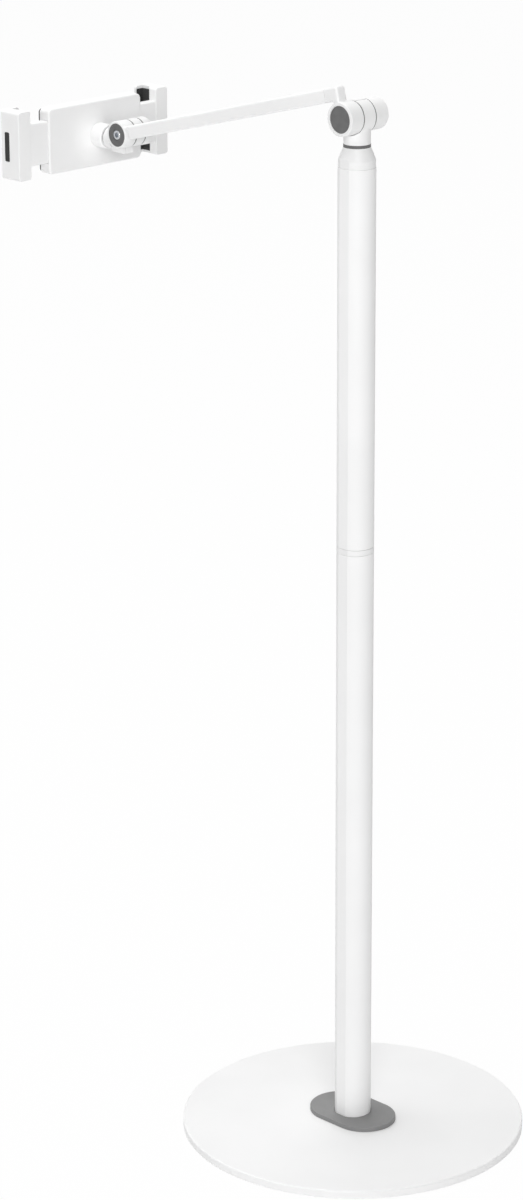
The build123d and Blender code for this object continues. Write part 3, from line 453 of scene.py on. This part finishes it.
def pebbledWristRing():
    low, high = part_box("wrist_ring")
    s = wristTexture
    area = math.pi * (s["outer"] ** 2 - s["inner"] ** 2)
    tree = pebbleTree(materials["darkABS"])
    ring = runTree("wristRingPebbled", mergedCopy("wrist_ring"), tree, {
        "Centre": (high.x, (low.y + high.y) / 2, (low.z + high.z) / 2),
        "Count": int(area / s["spacing"] ** 2), "Inner": s["inner"], "Outer": s["outer"],
        "Bump": s["bump"], "Rise": s["rise"], "Spread": s["spread"],
        "Subdivisions": s["subdivisions"],
    })
    finishPiece(ring, "arm", "dark_moulding", "wrist_ring")


groovedPads()
pebbledWristRing()
print("pads and ring made")

# Diameters of the wire, the coil and its eyes. Packing is the share of a close-wound coil's turns.
springWire = {
    "wire": 0.7 * mm, "outer": 4.4 * mm, "eyeOuter": 4.5 * mm, "eyeInner": 3.4 * mm,
    "packing": 0.97, "coilSteps": 18, "eyeSteps": 28, "wireSides": 8, "sharpDegrees": 60,
}


def springTree(material, s):
    # A close-wound coil along X with a flat eye at each end
    tree, source = startTree("woundSpring", (
        ("Start", "NodeSocketVector"), ("Length", "NodeSocketFloat"), ("Turns", "NodeSocketFloat"),
        ("Coil Radius", "NodeSocketFloat"), ("Wire Radius", "NodeSocketFloat"),
        ("First Eye", "NodeSocketVector"), ("Second Eye", "NodeSocketVector"),
        ("Eye Radius", "NodeSocketFloat"),
    ))
    coil = addNode(tree, "GeometryNodeCurveSpiral", inputs={
        "Resolution": s["coilSteps"], "Rotations": source["Turns"],
        "Start Radius": source["Coil Radius"], "End Radius": source["Coil Radius"],
        "Height": source["Length"],
    })
    laid = addNode(tree, "GeometryNodeTransform", inputs={
        "Geometry": coil.outputs[0], "Translation": source["Start"],
        "Rotation": (0, math.pi / 2, 0),
    })
    eye = addNode(
        tree, "GeometryNodeCurvePrimitiveCircle",
        inputs={"Resolution": s["eyeSteps"], "Radius": source["Eye Radius"]},
    )
    lines = addNode(tree, "GeometryNodeJoinGeometry")
    tree.links.new(laid.outputs[0], lines.inputs[0])
    for label in ("First Eye", "Second Eye"):
        hook = addNode(tree, "GeometryNodeTransform", inputs={
            "Geometry": eye.outputs[0], "Translation": source[label],
            "Rotation": (math.pi / 2, 0, 0),
        })
        tree.links.new(hook.outputs[0], lines.inputs[0])
    wire = addNode(
        tree, "GeometryNodeCurvePrimitiveCircle",
        inputs={"Resolution": s["wireSides"], "Radius": source["Wire Radius"]},
    )
    tube = addNode(tree, "GeometryNodeCurveToMesh", inputs={
        "Curve": lines.outputs[0], "Profile Curve": wire.outputs[0], "Fill Caps": True,
    })
    endTree(tree, tube.outputs[0], material)
    return tree


def woundSprings():
    s = springWire
    tree = springTree(materials["springSteel"], s)
    for side in ("left", "right"):
        name = f"{side}_spring"
        low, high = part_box(name)
        y, z = (low.y + high.y) / 2, (low.z + high.z) / 2
        eye = (s["eyeOuter"] + s["eyeInner"]) / 4
        reach = s["eyeOuter"] - s["wire"]
        length = high.x - low.x - 2 * reach
        spring = runTree(f"{side}SpringWound", bpy.data.meshes.new(name + "Start"), tree, {
            "Start": (low.x + reach, y, z), "Length": length,
            "Turns": length / s["wire"] * s["packing"],
            "Coil Radius": (s["outer"] - s["wire"]) / 2, "Wire Radius": s["wire"] / 2,
            "First Eye": (low.x + s["eyeOuter"] / 2, y, z),
            "Second Eye": (high.x - s["eyeOuter"] / 2, y, z), "Eye Radius": eye,
        }, s["sharpDegrees"])
        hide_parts(name)
        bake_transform(spring)


woundSprings()
print("springs made")

# Floor and light
lightSettings = {
    "skyColour": "#ffffff", "skyStrength": 0.22, "seenWhite": 1.0,
    "keyPlace": (3.0, 3.3, 2.3), "keySize": 2.4, "keyPower": 118,
    "sidePlace": (3.2, -1.0, 1.0), "sideSize": 1.6, "sidePower": 4,
    "topPlace": (-0.1, -1.8, 5.2), "topSize": 5.0, "topPower": 198,
    "aim": (0.0, -0.1, 0.75),
}
floorSettings = {
    "size": 14.0, "colour": "#f2f2f2", "seenColour": "#ffffff", "seenWhite": 1.0, "seenShare": 0.97,
}


def seenRays(tree):
    # 1 for what the camera sees straight, in gloss or through glass
    path = addNode(tree, "ShaderNodeLightPath").outputs
    gloss = addNode(
        tree, "ShaderNodeMath", {"operation": "MAXIMUM"},
        {0: path["Is Glossy Ray"], 1: path["Is Transmission Ray"]},
    )
    both = addNode(
        tree, "ShaderNodeMath", {"operation": "MAXIMUM"},
        {0: path["Is Camera Ray"], 1: gloss.outputs[0]},
    )
    return both.outputs[0]


def makeFloor(s):
    # Pale floor, mostly plain white where it is seen, with the object's shadow left in
    material = bpy.data.materials.new("paleFloor")
    material.use_nodes = True
    tree = material.node_tree
    tree.nodes.clear()
    matt = addNode(tree, "ShaderNodeBsdfDiffuse", inputs={"Color": linearColour(s["colour"])})
    white = addNode(
        tree, "ShaderNodeEmission",
        inputs={"Color": linearColour(s["seenColour"]), "Strength": s["seenWhite"]},
    )
    share = addNode(
        tree, "ShaderNodeMath", {"operation": "MULTIPLY"}, {0: seenRays(tree), 1: s["seenShare"]}
    )
    mix = addNode(
        tree, "ShaderNodeMixShader",
        inputs={0: share.outputs[0], 1: matt.outputs[0], 2: white.outputs[0]},
    )
    addNode(tree, "ShaderNodeOutputMaterial", inputs={"Surface": mix.outputs[0]})
    half = s["size"] / 2
    mesh = bpy.data.meshes.new("studioFloor")
    corners = [(-half, -half, 0), (half, -half, 0), (half, half, 0), (-half, half, 0)]
    mesh.from_pydata(corners, [], [(0, 1, 2, 3)])
    mesh.materials.append(material)
    floor = bpy.data.objects.new("studioFloor", mesh)
    bpy.context.scene.collection.objects.link(floor)


def makeSky(s):
    world = bpy.data.worlds.new("studioSky")
    world.use_nodes = True
    tree = world.node_tree
    tree.nodes.clear()
    colour = linearColour(s["skyColour"])
    lit, seen = (
        addNode(tree, "ShaderNodeBackground", inputs={"Color": colour, "Strength": s[key]})
        for key in ("skyStrength", "seenWhite")
    )
    mix = addNode(
        tree, "ShaderNodeMixShader",
        inputs={0: seenRays(tree), 1: lit.outputs[0], 2: seen.outputs[0]},
    )
    addNode(tree, "ShaderNodeOutputWorld", inputs={"Surface": mix.outputs[0]})
    bpy.context.scene.world = world


def makeLamp(name, s):
    data = bpy.data.lights.new(name, "AREA")
    data.shape = "DISK"
    data.size = s[name + "Size"]
    data.energy = s[name + "Power"]
    lamp = bpy.data.objects.new(name, data)
    bpy.context.scene.collection.objects.link(lamp)
    place = Vector(s[name + "Place"])
    lamp.rotation_euler = (Vector(s["aim"]) - place).to_track_quat("-Z", "Y").to_euler()
    lamp.location = place


makeFloor(floorSettings)
makeSky(lightSettings)
for lampName in ("key", "side", "top"):
    makeLamp(lampName, lightSettings)
bpy.context.scene.view_settings.view_transform = "Standard"
print("floor and light set")
